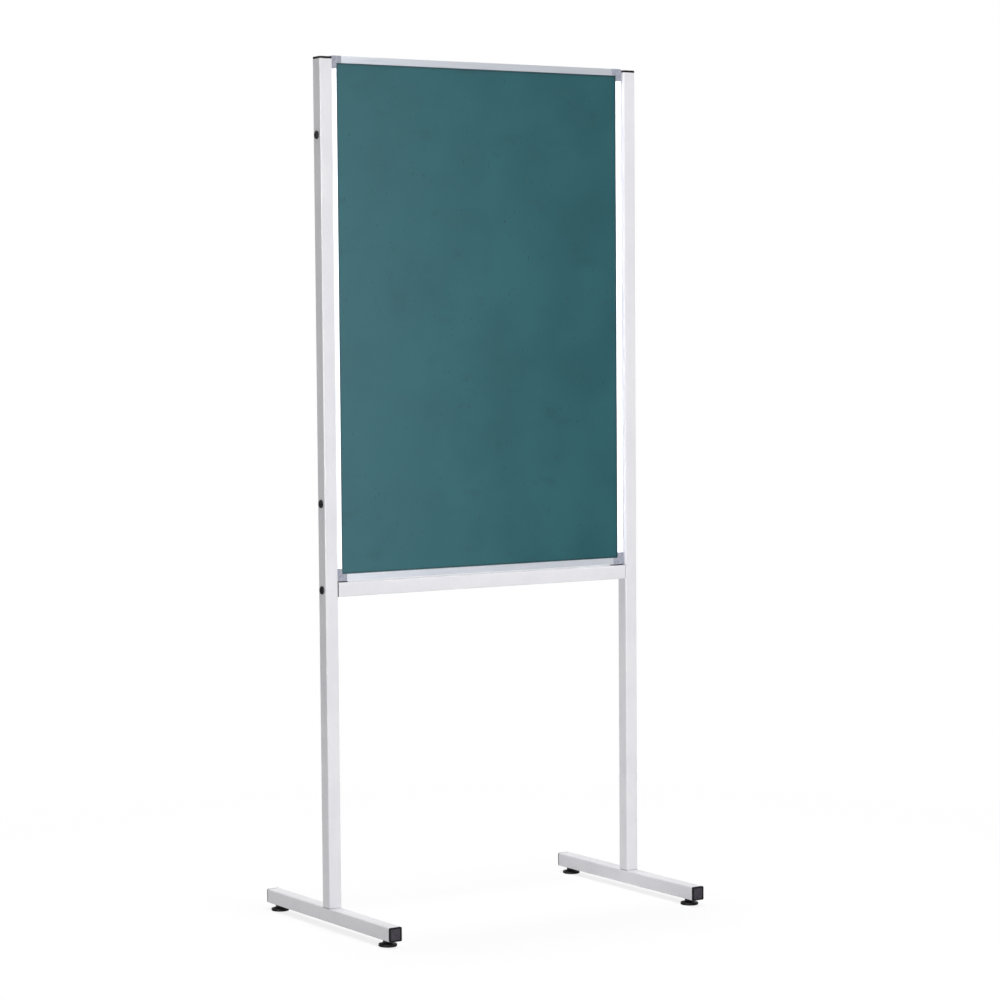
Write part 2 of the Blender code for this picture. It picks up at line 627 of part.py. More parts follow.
def corner_mesh():
    """A corner for the lower left: an L in XZ from the frame's outer corner, with two tongues."""
    leg = CORNER_LEG
    low = -CORNER_PROUD
    radius = CORNER_OUTER_RADIUS
    rounded = arc((low + radius, low + radius), radius, 2, 1, CORNER_ARC_STEPS)
    outline = rounded + [
        (leg, low),
        (leg, RAIL_FACE),
        (RAIL_FACE, RAIL_FACE),
        (RAIL_FACE, leg),
        (low, leg),
    ]
    thickness = RAIL_DEPTH + 2 * CORNER_FACE_PROUD
    mesh = baked(flat_outline("frame_corner", [outline], thickness))
    mesh.transform(Matrix.Rotation(math.pi / 2, 4, "X"))
    corner = part("frame_corner", mesh, grey_plastic)
    bevel = corner.modifiers.new("edges", "BEVEL")
    bevel.width = CORNER_BEVEL
    bevel.segments = EDGE_SEGMENTS
    bevel.limit_method = "ANGLE"
    bevel.angle_limit = BEVEL_ANGLE
    slot_size = leg - RAIL_GROOVE + CUT_OVERRUN
    slot_middle = RAIL_GROOVE + slot_size / 2
    slot = (slot_size, RAIL_GROOVE_WIDTH, slot_size)
    combine(corner, box_mesh("corner_slot", slot, (slot_middle, 0, slot_middle)), "DIFFERENCE")
    tongue_side = RAIL_CHAMBER - 2 * CLEARANCE
    tongue_depth = RAIL_CHAMBER_DEPTH - 2 * CLEARANCE
    tongue_middle = RAIL_WALL + RAIL_CHAMBER / 2
    tongue_length = CORNER_TONGUE + leg - RAIL_GROOVE
    tongue_centre = RAIL_GROOVE + tongue_length / 2
    level = (tongue_length, tongue_depth, tongue_side)
    upright = (tongue_side, tongue_depth, tongue_length)
    level_centre = (tongue_centre, 0, tongue_middle)
    upright_centre = (tongue_middle, 0, tongue_centre)
    combine(corner, box_mesh("corner_tongue_level", level, level_centre), "UNION")
    combine(corner, box_mesh("corner_tongue_upright", upright, upright_centre), "UNION")
    return baked(corner)


def build_corners():
    mesh = corner_mesh()
    for level, z, turns in (("bottom", BOARD_BOTTOM_Z, (0, -1)), ("top", BOARD_TOP_Z, (1, 2))):
        for (side, x_sign), turn in zip(SIDES, turns):
            place = (x_sign * BOARD_HALF_WIDTH, 0, z)
            part(f"frame_corner_{level}_{side}", mesh, grey_plastic, place, (0, turn * math.pi / 2, 0))


def build_panel():
    """The core and the two writing sheets, which sit in the grooves of the rails."""
    core = box_mesh("board_core", (PANEL_WIDTH, CORE_THICKNESS, PANEL_HEIGHT))
    part("board_core", core, core_board, (0, 0, BOARD_Z))
    sheet = box_mesh("writing_sheet", (PANEL_WIDTH, SHEET_THICKNESS, PANEL_HEIGHT))
    for end, y_sign in ENDS:
        part(f"writing_sheet_{end}", sheet, enamel, (0, y_sign * SHEET_Y, BOARD_Z))


def build_board_fixings():
    """Bolts through the posts, nut bars inside the rails and pads under the lower corners."""
    rail_bore_x = BOARD_HALF_WIDTH - RAIL_WALL - RAIL_CHAMBER
    bolt_length = POST_OUTER_X + CLEARANCE - rail_bore_x - 2 * CLEARANCE
    bolt = bolt_mesh("board_bolt", bolt_length)
    nut = nut_bar_mesh()
    rows = (
        ("board_bolt", bolt, black_steel, POST_OUTER_X + CLEARANCE),
        ("rail_nut", nut, zinc, rail_bore_x + RAIL_CHAMBER / 2),
    )
    for side, x_sign in SIDES:
        for level, z in zip(("lower", "upper"), BOARD_BOLT_HEIGHTS):
            for kind, mesh, finish, x in rows:
                part(f"{kind}_{side}_{level}", mesh, finish, (x_sign * x, 0, z), outward(x_sign))
    pad = box_mesh("board_pad", (BOARD_PAD_LENGTH, RAIL_DEPTH, BOARD_PAD_THICKNESS))
    pad_x = BOARD_HALF_WIDTH - BOARD_PAD_LENGTH / 2
    pad_z = BOARD_PAD_TOP - BOARD_PAD_THICKNESS / 2
    for side, x_sign in SIDES:
        part(f"board_pad_{side}", pad, black_plastic, (x_sign * pad_x, 0, pad_z))


def nut_bar_mesh():
    """A flat bar, drilled through its thickness, that lies along the rail's chamber."""
    thickness = RAIL_CHAMBER - 2 * CLEARANCE
    width = RAIL_CHAMBER_DEPTH - 2 * CLEARANCE
    bar = part("rail_nut", box_mesh("rail_nut", (NUT_BAR_LENGTH, width, thickness)), zinc)
    drill_length = thickness + 2 * CUT_OVERRUN
    drill = [((0, 0, 0), (0, 0, 1), BOLT_HOLE_RADIUS, drill_length)]
    combine(bar, rods_mesh("rail_nut_bore", drill), "DIFFERENCE")
    return baked(bar)


clear_scene()
parts = new_collection("menu_board")
cutters = new_collection("cutters")
cutters.hide_render = True

steel_coat = material("white_powder_coat", (0.77, 0.77, 0.79), 0.45)
aluminium = material("anodised_aluminium", (0.70, 0.71, 0.74), 0.35, 1)
grey_plastic = material("grey_corner_plastic", (0.33, 0.33, 0.38), 0.6)
black_plastic = material("black_plastic", (0.02, 0.02, 0.022), 0.5)
black_steel = material("blackened_steel", (0.03, 0.03, 0.033), 0.4, 1)
zinc = material("zinc_plated_steel", (0.62, 0.63, 0.65), 0.35, 1)
enamel = material("green_enamel", (0.041, 0.128, 0.155), 0.5)
core_board = material("core_board", (0.42, 0.31, 0.20), 0.8)

build_feet()
build_levelling_feet()
build_posts()
build_crossbar()
build_rails()
build_corners()
build_panel()
build_board_fixings()
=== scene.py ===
"""The looks of a free-standing menu board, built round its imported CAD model.

Lengths are in metres. X runs along the board's width, Y from the front to the rear and Z up.
"""

import math

import bmesh
import bpy
from mathutils import Matrix, Vector


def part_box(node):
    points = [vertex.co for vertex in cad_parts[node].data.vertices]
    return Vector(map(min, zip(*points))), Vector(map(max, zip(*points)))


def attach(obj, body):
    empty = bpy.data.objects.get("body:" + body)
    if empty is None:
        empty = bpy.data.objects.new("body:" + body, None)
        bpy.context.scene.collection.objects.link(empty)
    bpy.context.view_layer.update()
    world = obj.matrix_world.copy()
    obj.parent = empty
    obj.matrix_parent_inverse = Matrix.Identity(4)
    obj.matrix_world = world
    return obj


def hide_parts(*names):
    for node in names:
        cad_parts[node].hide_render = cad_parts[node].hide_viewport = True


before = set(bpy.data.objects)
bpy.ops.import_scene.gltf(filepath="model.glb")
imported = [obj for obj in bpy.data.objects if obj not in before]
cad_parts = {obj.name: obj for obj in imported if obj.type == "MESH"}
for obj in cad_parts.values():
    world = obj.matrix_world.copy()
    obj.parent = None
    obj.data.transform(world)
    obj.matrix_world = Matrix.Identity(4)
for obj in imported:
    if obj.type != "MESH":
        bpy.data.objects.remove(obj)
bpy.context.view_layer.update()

# Square steel tube: the posts, the bar under the board and the two feet.
# It is welded, rolled square with rounded corners and powder coated an even satin white,
# then sawn to length and deburred, so that its cut ends are bare steel, drawn near black as a
# painted shade for the narrow gaps at the ends.

TUBE_SIDE = 0.030
TUBE_WALL = 0.0015
TUBE_CORNER = 0.003
CORNER_STEPS = 6
HOLE_STEPS = 24
TUBE_END_EDGE = 0.0003  # deburred edge of a sawn end
BAR_END_EDGE = 0.0006
TUBE_END_STEPS = 2
BAR_SHORT = 0.0004  # at each end of the bar, so that it slips in between the posts
OVERRUN = 0.002  # how far a cutter runs past the face that it opens
BOLT_HOLE_RADIUS = 0.0028  # clears an M5 bolt
FOOT_BOLT_HOLE_RADIUS = 0.0043  # clears an M8 bolt
ACCESS_HOLE_RADIUS = 0.0075  # in the underside of a foot, for the key of its bolt
RIVET_NUT_HOLE_RADIUS = 0.0058
MERGE_DISTANCE = 0.00001
SHARP_ANGLE = math.radians(35)

NOISE_MIDDLE = {"From Min": 0.35, "From Max": 0.65}  # where most of a noise's values lie

COAT_COLOURS = ("#E1E0E5", "#E6E5E9")
COAT_ROUGHNESS = {"To Min": 0.27, "To Max": 0.35}
COAT_CLOUD = 0.09  # slow change in the thickness of the powder
COAT_PEEL = 0.0016  # orange peel of the baked powder, drawn twice as coarse as the real one
COAT_PEEL_DEPTH = 0.00003
# bare steel drawn near black: a painted shade for the gaps at the tube ends
BARE_SHADED_COLOURS = ("#29282A", "#353336")
BARE_ROUGHNESS = 0.6
SAW_LINE_WIDTH = 0.0008
SAW_LINE_LENGTH = 0.016


def linear(colour):
    """The linear colour of an sRGB hex value."""
    parts = [int(colour[i : i + 2], 16) / 255 for i in (1, 3, 5)]
    return (*(c / 12.92 if c <= 0.04045 else ((c + 0.055) / 1.055) ** 2.4 for c in parts), 1)


def fill(tree, node, inputs):
    """Gives the inputs of a node their values, or the outputs that feed them."""
    for name, value in inputs.items():
        if isinstance(value, bpy.types.NodeSocket):
            tree.links.new(value, node.inputs[name])
        else:
            node.inputs[name].default_value = value


def add(tree, kind, inputs, output=0, **settings):
    """Adds a node and gives its output. A colour mix takes inputs 0, 6 and 7, output 2."""
    node = tree.nodes.new("ShaderNode" + kind)
    for name, value in settings.items():
        setattr(node, name, value)
    fill(tree, node, inputs)
    return node.outputs[output]


def new_material(name):
    """A material, with its tree, its Principled shader and the Object coordinates."""
    made = bpy.data.materials.new(name)
    made.use_nodes = True
    tree = made.node_tree
    return made, tree, tree.nodes["Principled BSDF"], add(tree, "TexCoord", {}, "Object")


def white_powder_coat():
    """Polyester powder coat, baked on: satin white with a very fine orange peel."""
    made, tree, shader, place = new_material("white_powder_coat")
    cloud = add(tree, "TexNoise", {"Vector": place, "Scale": 1 / COAT_CLOUD, "Detail": 3})
    cloud = add(tree, "MapRange", {"Value": cloud, **NOISE_MIDDLE})
    dark, light = map(linear, COAT_COLOURS)
    colour = add(tree, "Mix", {0: cloud, 6: dark, 7: light}, 2, data_type="RGBA")
    peel = add(tree, "TexNoise", {"Vector": place, "Scale": 1 / COAT_PEEL, "Detail": 1})
    rough = add(tree, "MapRange", {"Value": peel, **NOISE_MIDDLE, **COAT_ROUGHNESS})
    bump = add(tree, "Bump", {"Height": peel, "Distance": COAT_PEEL_DEPTH})
    fill(tree, shader, {"Base Color": colour, "Roughness": rough, "Normal": bump})
    return made


def shaded_bare_steel():
    """The steel of a sawn tube end, with fine saw lines: bare steel drawn near black, as a
    painted shade for the gaps at the ends.
    """
    made, tree, shader, place = new_material("shaded_bare_steel")
    scale = (1 / SAW_LINE_WIDTH, 1 / SAW_LINE_LENGTH, 1 / SAW_LINE_WIDTH)
    lines = add(tree, "Mapping", {"Vector": place, "Scale": scale})
    lines = add(tree, "TexNoise", {"Vector": lines, "Scale": 1, "Detail": 3})
    lines = add(tree, "MapRange", {"Value": lines, **NOISE_MIDDLE})
    dark, light = map(linear, BARE_SHADED_COLOURS)
    colour = add(tree, "Mix", {0: lines, 6: dark, 7: light}, 2, data_type="RGBA")
    fill(tree, shader, {"Base Color": colour, "Metallic": 1, "Roughness": BARE_ROUGHNESS})
    return made


def centre(node):
    """The middle of a CAD node's box."""
    low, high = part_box(node)
    return (low + high) / 2


def piece(name, bm, materials, body, node):
    """Makes a piece from a bmesh: smooth round its curves, and in the CAD node's place."""
    mesh = bpy.data.meshes.new(name)
    bmesh.ops.remove_doubles(bm, verts=bm.verts, dist=MERGE_DISTANCE)
    bmesh.ops.recalc_face_normals(bm, faces=bm.faces)
    bm.to_mesh(mesh)
    bm.free()
    for material in materials:
        mesh.materials.append(material)
    mesh.shade_smooth()
    mesh.set_sharp_from_angle(angle=SHARP_ANGLE)
    obj = bpy.data.objects.new(name, mesh)
    bpy.context.scene.collection.objects.link(obj)
    weighted = obj.modifiers.new("flat_faces_stay_flat", "WEIGHTED_NORMAL")
    weighted.keep_sharp = True
    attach(obj, body)
    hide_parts(node)
    return obj


def put(bm, where, quarters=0, axis="X"):
    """Turns a shape about an axis through the origin by quarter turns, then moves it."""
    turn = Matrix.Rotation(quarters * math.pi / 2, 4, axis)
    bmesh.ops.transform(bm, matrix=Matrix.Translation(where) @ turn, verts=bm.verts)


def rod(bm, middle, axis, radius, length, steps=HOLE_STEPS):
    turn = Vector((0, 0, 1)).rotation_difference(Vector(axis)).to_matrix().to_4x4()
    bmesh.ops.create_cone(
        bm,
        cap_ends=True,
        segments=steps,
        radius1=radius,
        radius2=radius,
        depth=length,
        matrix=Matrix.Translation(middle) @ turn,
    )


def round_off(bm, parts, radius, steps, affect="EDGES"):
    """Rounds edges, or with VERTICES the corners of a flat face."""
    bmesh.ops.bevel(
        bm,
        geom=parts,
        offset=radius,
        segments=steps,
        profile=0.5,
        affect=affect,
        material=-1,
    )


def cut_away(bm, cutter):
    """The bmesh with another one cut out of it."""
    objects = []
    for shape in (bm, cutter):
        bmesh.ops.recalc_face_normals(shape, faces=shape.faces)
        mesh = bpy.data.meshes.new("working_mesh")
        shape.to_mesh(mesh)
        shape.free()
        obj = bpy.data.objects.new("working_object", mesh)
        bpy.context.scene.collection.objects.link(obj)
        objects.append(obj)
    boolean = objects[0].modifiers.new("cut", "BOOLEAN")
    boolean.operation = "DIFFERENCE"
    boolean.solver = "EXACT"
    boolean.object = objects[1]
    bpy.context.view_layer.update()
    evaluated = objects[0].evaluated_get(bpy.context.evaluated_depsgraph_get())
    cut = bmesh.new()
    cut.from_mesh(evaluated.to_mesh())
    for obj in objects:
        bpy.data.meshes.remove(obj.data)
    return cut


def rounded_square(side, radius):
    """One flat face in XY with rounded corners."""
    bm = bmesh.new()
    bmesh.ops.create_grid(bm, x_segments=1, y_segments=1, size=side / 2)
    round_off(bm, bm.verts[:], radius, CORNER_STEPS, "VERTICES")
    return bm


def raise_faces(bm, faces, rise):
    """Extrudes faces along Z and gives the faces at the far end."""
    edges = [edge for edge in bm.edges if any(face in faces for face in edge.link_faces)]
    made = bmesh.ops.extrude_face_region(bm, geom=faces + edges)["geom"]
    verts = [item for item in made if isinstance(item, bmesh.types.BMVert)]
    bmesh.ops.translate(bm, verts=verts, vec=(0, 0, rise))
    return [item for item in made if isinstance(item, bmesh.types.BMFace)]


def on_outline(vert):
    """Whether a point of a tube's end lies on its outer outline."""
    straight = TUBE_SIDE / 2 - TUBE_CORNER
    past = [max(abs(value) - straight, 0) for value in vert.co.xy]
    return math.hypot(*past) > TUBE_CORNER - TUBE_WALL / 2


def square_tube(node, turn=None, rounding=TUBE_END_EDGE, short=0):
    """A tube as long as a CAD tube, along Z or turned from it, and set where that one is."""
    low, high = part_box(node)
    bm = rounded_square(TUBE_SIDE, TUBE_CORNER)
    middle = bm.faces[:]
    bmesh.ops.inset_region(
        bm, faces=middle, thickness=TUBE_WALL, use_boundary=True, use_even_offset=True
    )
    bmesh.ops.delete(bm, geom=middle, context="FACES_ONLY")
    length = max(high - low) - 2 * short
    raise_faces(bm, bm.faces[:], length)
    ends = [edge for edge in bm.edges if edge.verts[0].co.z == edge.verts[1].co.z]
    rims = [edge for edge in ends if all(on_outline(vert) for vert in edge.verts)]
    round_off(bm, rims, rounding, TUBE_END_STEPS)
    # The cut ends take the near-black steel, which paints the shade in the gaps there.
    for face in bm.faces:
        along = face.calc_center_median().z
        face.material_index = min(along, length - along) < rounding
    put(bm, (0, 0, -length / 2))
    put(bm, centre(node), 1 if turn else 0, turn or "Z")
    return bm


tube_finishes = (white_powder_coat(), shaded_bare_steel())
board_bolt_heights = [centre(f"rail_nut_left_{level}").z for level in ("lower", "upper")]

for side in ("left", "right"):
    post_x = centre(f"post_{side}").x
    across = TUBE_SIDE + 2 * OVERRUN
    holes = bmesh.new()
    for height in (centre("crossbar").z, *board_bolt_heights):
        rod(holes, (post_x, 0, height), (1, 0, 0), BOLT_HOLE_RADIUS, across)
    post = cut_away(square_tube(f"post_{side}"), holes)
    piece(f"{side}_post_tube", post, tube_finishes, "stand", f"post_{side}")

    node = f"foot_tube_{side}"
    low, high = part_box(node)
    depth = TUBE_WALL + 2 * OVERRUN
    holes = bmesh.new()
    rod(holes, (post_x, 0, high.z), (0, 0, 1), FOOT_BOLT_HOLE_RADIUS, depth)
    rod(holes, (post_x, 0, low.z), (0, 0, 1), ACCESS_HOLE_RADIUS, depth)
    for end in ("front", "rear"):
        nut_y = centre(f"foot_insert_{side}_{end}").y
        rod(holes, (post_x, nut_y, low.z), (0, 0, 1), RIVET_NUT_HOLE_RADIUS, depth)
    foot = cut_away(square_tube(node, "X"), holes)
    piece(f"{side}_foot_tube", foot, tube_finishes, "stand", node)

bar = square_tube("crossbar", "Y", BAR_END_EDGE, BAR_SHORT)
piece("level_bar", bar, tube_finishes, "stand", "crossbar")

# Plugs: a cap on each post and a plug in each end of the feet.
# They are moulded from black polyethylene and knocked into the tube, which thin ribs grip.
# The ends of the feet show a raised rim round a recessed face of a lighter grey.

PLUG_FLANGE = 0.0027
CAP_FLANGE = 0.0042
PLUG_EDGE = 0.0007
CAP_EDGE = 0.0003
PLUG_EDGE_STEPS = 3
PLUG_RIM = 0.0034  # width of the raised rim
PLUG_RECESS = 0.0011
PLUG_SKIRT = 0.0247  # side of the hollow part inside the tube
PLUG_SKIRT_WALL = 0.002
PLUG_RIB = 0.0262  # side over two ribs
PLUG_RIB_THICKNESS = 0.001
PLUG_RIB_PITCH = 0.005
PLUG_RIBS = 2

PLASTIC_COLOURS = ("#0D0D0F", "#151517")
RECESS_FACE_COLOURS = ("#3E3A43", "#46424B")  # lighter grey, on the recessed face of a foot plug
PLASTIC_ROUGHNESS = {"To Min": 0.36, "To Max": 0.5}
PLASTIC_SHEEN = 0.15  # specular level, low as the dull moulded face is
PLASTIC_CLOUD = 0.012
PLASTIC_GRAIN = 0.0007  # spark-eroded mould face, drawn coarser than the real 0.1 mm
PLASTIC_GRAIN_DEPTH = 0.00003


def black_moulded_plastic(name, colours):
    """Polyethylene from a spark-eroded mould: near black with a soft, uneven sheen."""
    made, tree, shader, place = new_material(name)
    cloud = add(tree, "TexNoise", {"Vector": place, "Scale": 1 / PLASTIC_CLOUD, "Detail": 3})
    cloud = add(tree, "MapRange", {"Value": cloud, **NOISE_MIDDLE})
    dark, light = map(linear, colours)
    colour = add(tree, "Mix", {0: cloud, 6: dark, 7: light}, 2, data_type="RGBA")
    rough = add(tree, "MapRange", {"Value": cloud, **PLASTIC_ROUGHNESS})
    grain = add(tree, "TexNoise", {"Vector": place, "Scale": 1 / PLASTIC_GRAIN, "Detail": 1})
    bump = add(tree, "Bump", {"Height": grain, "Distance": PLASTIC_GRAIN_DEPTH})
    fill(tree, shader, {"Base Color": colour, "Roughness": rough, "Normal": bump})
    fill(tree, shader, {"Specular IOR Level": PLASTIC_SHEEN})
    return made


def step_faces(bm, faces, rise, inward):
    """Extrudes faces along Z and draws their outline in, or out where inward is negative."""
    ends = raise_faces(bm, faces, rise)
    verts = {vert for face in ends for vert in face.verts}
    half = max(vert.co.x for vert in verts)
    share = (half - inward) / half
    bmesh.ops.scale(bm, verts=list(verts), vec=(share, share, 1))
    return ends


def tube_plug(flange, rounding, recess):
    """A plug that faces +Z and whose flange lies on the tube's end at Z = 0."""
    bm = rounded_square(TUBE_SIDE, TUBE_CORNER)
    top = raise_faces(bm, bm.faces[:], flange)
    rim = [edge for face in top for edge in face.edges]
    round_off(bm, rim, rounding, PLUG_EDGE_STEPS)
    crown = flange - MERGE_DISTANCE
    top = [face for face in bm.faces if min(v.co.z for v in face.verts) > crown]
    if recess:
        width = PLUG_RIM - rounding
        bmesh.ops.inset_region(bm, faces=top, thickness=width, use_even_offset=True)
        bottom = raise_faces(bm, top, -recess)[0]
        bottom.material_index = 1
    under = [face for face in bm.faces if max(v.co.z for v in face.verts) < MERGE_DISTANCE]
    skirt_step = (TUBE_SIDE - PLUG_SKIRT) / 2
    rib_step = (PLUG_RIB - PLUG_SKIRT) / 2
    plain = PLUG_RIB_PITCH - PLUG_RIB_THICKNESS
    bmesh.ops.inset_region(bm, faces=under, thickness=skirt_step, use_even_offset=True)
    for _ in range(PLUG_RIBS):
        under = step_faces(bm, under, -plain, 0)
        under = step_faces(bm, under, 0, -rib_step)
        under = step_faces(bm, under, -PLUG_RIB_THICKNESS, 0)
        under = step_faces(bm, under, 0, rib_step)
    under = step_faces(bm, under, -plain, 0)
    bmesh.ops.inset_region(bm, faces=under, thickness=PLUG_SKIRT_WALL, use_even_offset=True)
    raise_faces(bm, under, PLUG_RIBS * PLUG_RIB_PITCH + plain)
    return bm


black_plastic = black_moulded_plastic("black_moulded_polyethylene", PLASTIC_COLOURS)
recess_face_plastic = black_moulded_plastic("lighter_black_polyethylene", RECESS_FACE_COLOURS)
plug_finishes = (black_plastic, recess_face_plastic)

for side in ("left", "right"):
    node = f"post_cap_{side}"
    low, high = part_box(node)
    cap = tube_plug(CAP_FLANGE, CAP_EDGE, 0)
    put(cap, (centre(node).x, 0, high.z - CAP_FLANGE))
    piece(f"{side}_post_end_cap", cap, (black_plastic,), "stand", node)
    for end, outward in (("front", -1), ("rear", 1)):
        node = f"foot_plug_{side}_{end}"
        low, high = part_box(node)
        flange_y = (high.y if outward > 0 else low.y) - outward * PLUG_FLANGE
        plug = tube_plug(PLUG_FLANGE, PLUG_EDGE, PLUG_RECESS)
        put(plug, (centre(node).x, flange_y, centre(node).z), -outward, "X")
        name = f"{side}_foot_{end}_plug"
        piece(name, plug, plug_finishes, "stand", node)

# Levelling feet: a moulded pad snapped over the disc of a screw, under each end of a foot.
# The pad is the plugs' black polyethylene with grip rings under it. The screw is blackened
# M8 steel: its hexagon is turned by a spanner, and it runs in a rivet nut in the tube's wall.

TURNED_STEPS = 48
PAD_PROFILE = (  # radius and height in millimetres, from the cavity's middle round to the sole
    (0, 1.5),
    (7.0, 1.5),
    (7.0, 3.6),
    (4.3, 3.6),
    (4.3, 7.6),
    (10.4, 7.6),
    (10.9, 7.5),
    (11.2, 7.2),
    (14.6, 6.2),
    (17.6, 5.5),
    (18.8, 5.1),
    (19.2, 4.6),
    (19.35, 4.0),
    (19.35, 1.0),
    (19.15, 0.4),
    (18.6, 0.0),
    (15.6, 0.0),
    (15.2, 0.5),
    (14.2, 0.5),
    (13.8, 0.0),
    (10.6, 0.0),
    (10.2, 0.5),
    (9.2, 0.5),
    (8.8, 0.0),
    (0, 0.0),
)
THREAD_CREST = 0.004
THREAD_ROOT = 0.0034
THREAD_PITCH = 0.00125
THREAD_STEPS = 24  # in one turn
THREAD_START = 0.0122  # height at which the thread starts, just over the hexagon
THREAD_TURNS = 21
STUD_TIP = 0.040  # height of the screw's top at rest
HEXAGON_SIDES = 6
HEXAGON_RADIUS = 0.0101
HEXAGON_EDGE = 0.0004
HEXAGON_EDGE_STEPS = 2
HEXAGON_RANGE = (0.0079, 0.0119)  # heights of its two faces
DISC_RADIUS = 0.0067
DISC_RANGE = (0.0018, 0.0033)

STEEL_COLOURS = ("#1B1B1D", "#2C2C2F")
STEEL_ROUGHNESS = {"To Min": 0.28, "To Max": 0.42}
STEEL_PATCH = 0.003  # uneven oxide left by the blackening bath


def blackened_steel():
    """Steel from a hot black-oxide bath: a dark metal with a low, slightly oily gloss."""
    made, tree, shader, place = new_material("black_oxide_steel")
    patch = add(tree, "TexNoise", {"Vector": place, "Scale": 1 / STEEL_PATCH, "Detail": 3})
    patch = add(tree, "MapRange", {"Value": patch, **NOISE_MIDDLE})
    dark, light = map(linear, STEEL_COLOURS)
    colour = add(tree, "Mix", {0: patch, 6: dark, 7: light}, 2, data_type="RGBA")
    rough = add(tree, "MapRange", {"Value": patch, **STEEL_ROUGHNESS})
    fill(tree, shader, {"Base Color": colour, "Metallic": 1, "Roughness": rough})
    return made


def turned(profile, steps=TURNED_STEPS):
    """A shape spun about Z from a line of (radius, height) points in metres."""
    bm = bmesh.new()
    verts = [bm.verts.new((radius, 0, height)) for radius, height in profile]
    line = verts + [bm.edges.new(pair) for pair in zip(verts, verts[1:])]
    bmesh.ops.spin(
        bm,
        geom=line,
        cent=(0, 0, 0),
        axis=(0, 0, 1),
        angle=2 * math.pi,
        steps=steps,
        use_merge=True,
    )
    bmesh.ops.remove_doubles(bm, verts=bm.verts, dist=MERGE_DISTANCE)
    return bm


def threaded_stud():
    """A screw thread swept up a helix, closed flat at its start and its end."""
    bm = bmesh.new()
    points = (
        (THREAD_ROOT, 0, THREAD_START),
        (THREAD_CREST, 0, THREAD_START + THREAD_PITCH / 2),
        (THREAD_ROOT, 0, THREAD_START + THREAD_PITCH),
    )
    verts = [bm.verts.new(point) for point in points]
    line = verts + [bm.edges.new(pair) for pair in zip(verts, verts[1:])]
    bmesh.ops.spin(
        bm,
        geom=line,
        cent=(0, 0, 0),
        axis=(0, 0, 1),
        dvec=(0, 0, THREAD_PITCH / THREAD_STEPS),
        angle=2 * math.pi * THREAD_TURNS,
        steps=THREAD_STEPS * THREAD_TURNS,
    )
    bmesh.ops.remove_doubles(bm, verts=bm.verts, dist=MERGE_DISTANCE)
    rims = [edge for edge in bm.edges if edge.is_boundary]
    made = bmesh.ops.extrude_edge_only(bm, edges=rims)["geom"]
    middle = (THREAD_START + STUD_TIP) / 2
    ends = ([], [])
    for vert in [item for item in made if isinstance(item, bmesh.types.BMVert)]:
        above = vert.co.z > middle
        vert.co.xy = vert.co.xy.normalized() * THREAD_ROOT
        vert.co.z = STUD_TIP if above else DISC_RANGE[1]
    for edge in [item for item in made if isinstance(item, bmesh.types.BMEdge)]:
        ends[edge.verts[0].co.z > middle].append(edge)
    for loop in ends:
        flat = [edge for edge in loop if edge.is_boundary]
        bmesh.ops.edgeloop_fill(bm, edges=flat)
    return bm


def add_hexagon(bm):
    """The screw's hexagon, with its sharp edges taken off."""
    low, high = HEXAGON_RANGE
    before = set(bm.faces)
    middle = (0, 0, (low + high) / 2)
    rod(bm, middle, (0, 0, 1), HEXAGON_RADIUS, high - low, HEXAGON_SIDES)
    edges = {edge for face in bm.faces if face not in before for edge in face.edges}
    round_off(bm, list(edges), HEXAGON_EDGE, HEXAGON_EDGE_STEPS)


def add_disc(bm):
    """The disc under the screw, over which the pad snaps."""
    low, high = DISC_RANGE
    rod(bm, (0, 0, (low + high) / 2), (0, 0, 1), DISC_RADIUS, high - low, TURNED_STEPS)


black_steel = blackened_steel()

for side in ("left", "right"):
    for end in ("front", "rear"):
        node = f"levelling_pad_{side}_{end}"
        below = (centre(node).x, centre(node).y, 0)
        pad = turned([(radius / 1000, height / 1000) for radius, height in PAD_PROFILE])
        put(pad, below)
        body = f"pad_{side}_{end}"
        piece(f"{side}_{end}_pad", pad, (black_plastic,), body, node)
        screw = threaded_stud()
        add_hexagon(screw)
        add_disc(screw)
        put(screw, below)
        node = f"levelling_screw_{side}_{end}"
        body = f"screw_{side}_{end}"
        piece(f"{side}_{end}_screw", screw, (black_steel,), body, node)

# Connector bolts: two through each post into the board and one into the bar under it.
# They are M5 furniture bolts of blackened steel, with a wide flat head and a hexagon socket.
# They go in from the post's outer face, where only the heads show.

BOLT_STEPS = 36
BOLT_RADIUS = 0.0025
BOLT_TIP = 0.0006  # chamfer at the end
HEAD_HEIGHT = 0.0024
HEAD_PROFILE = (  # radius and height in millimetres, from the socket's mouth to the shank
    (2.9, 2.4),
    (7.55, 2.3),
    (8.25, 2.0),
    (8.65, 1.5),
    (8.75, 1.2),
    (8.65, 0.2),
    (8.45, 0.0),
    (2.5, 0.0),
)
SOCKET_RADIUS = 0.0023
SOCKET_DEPTH = 0.002


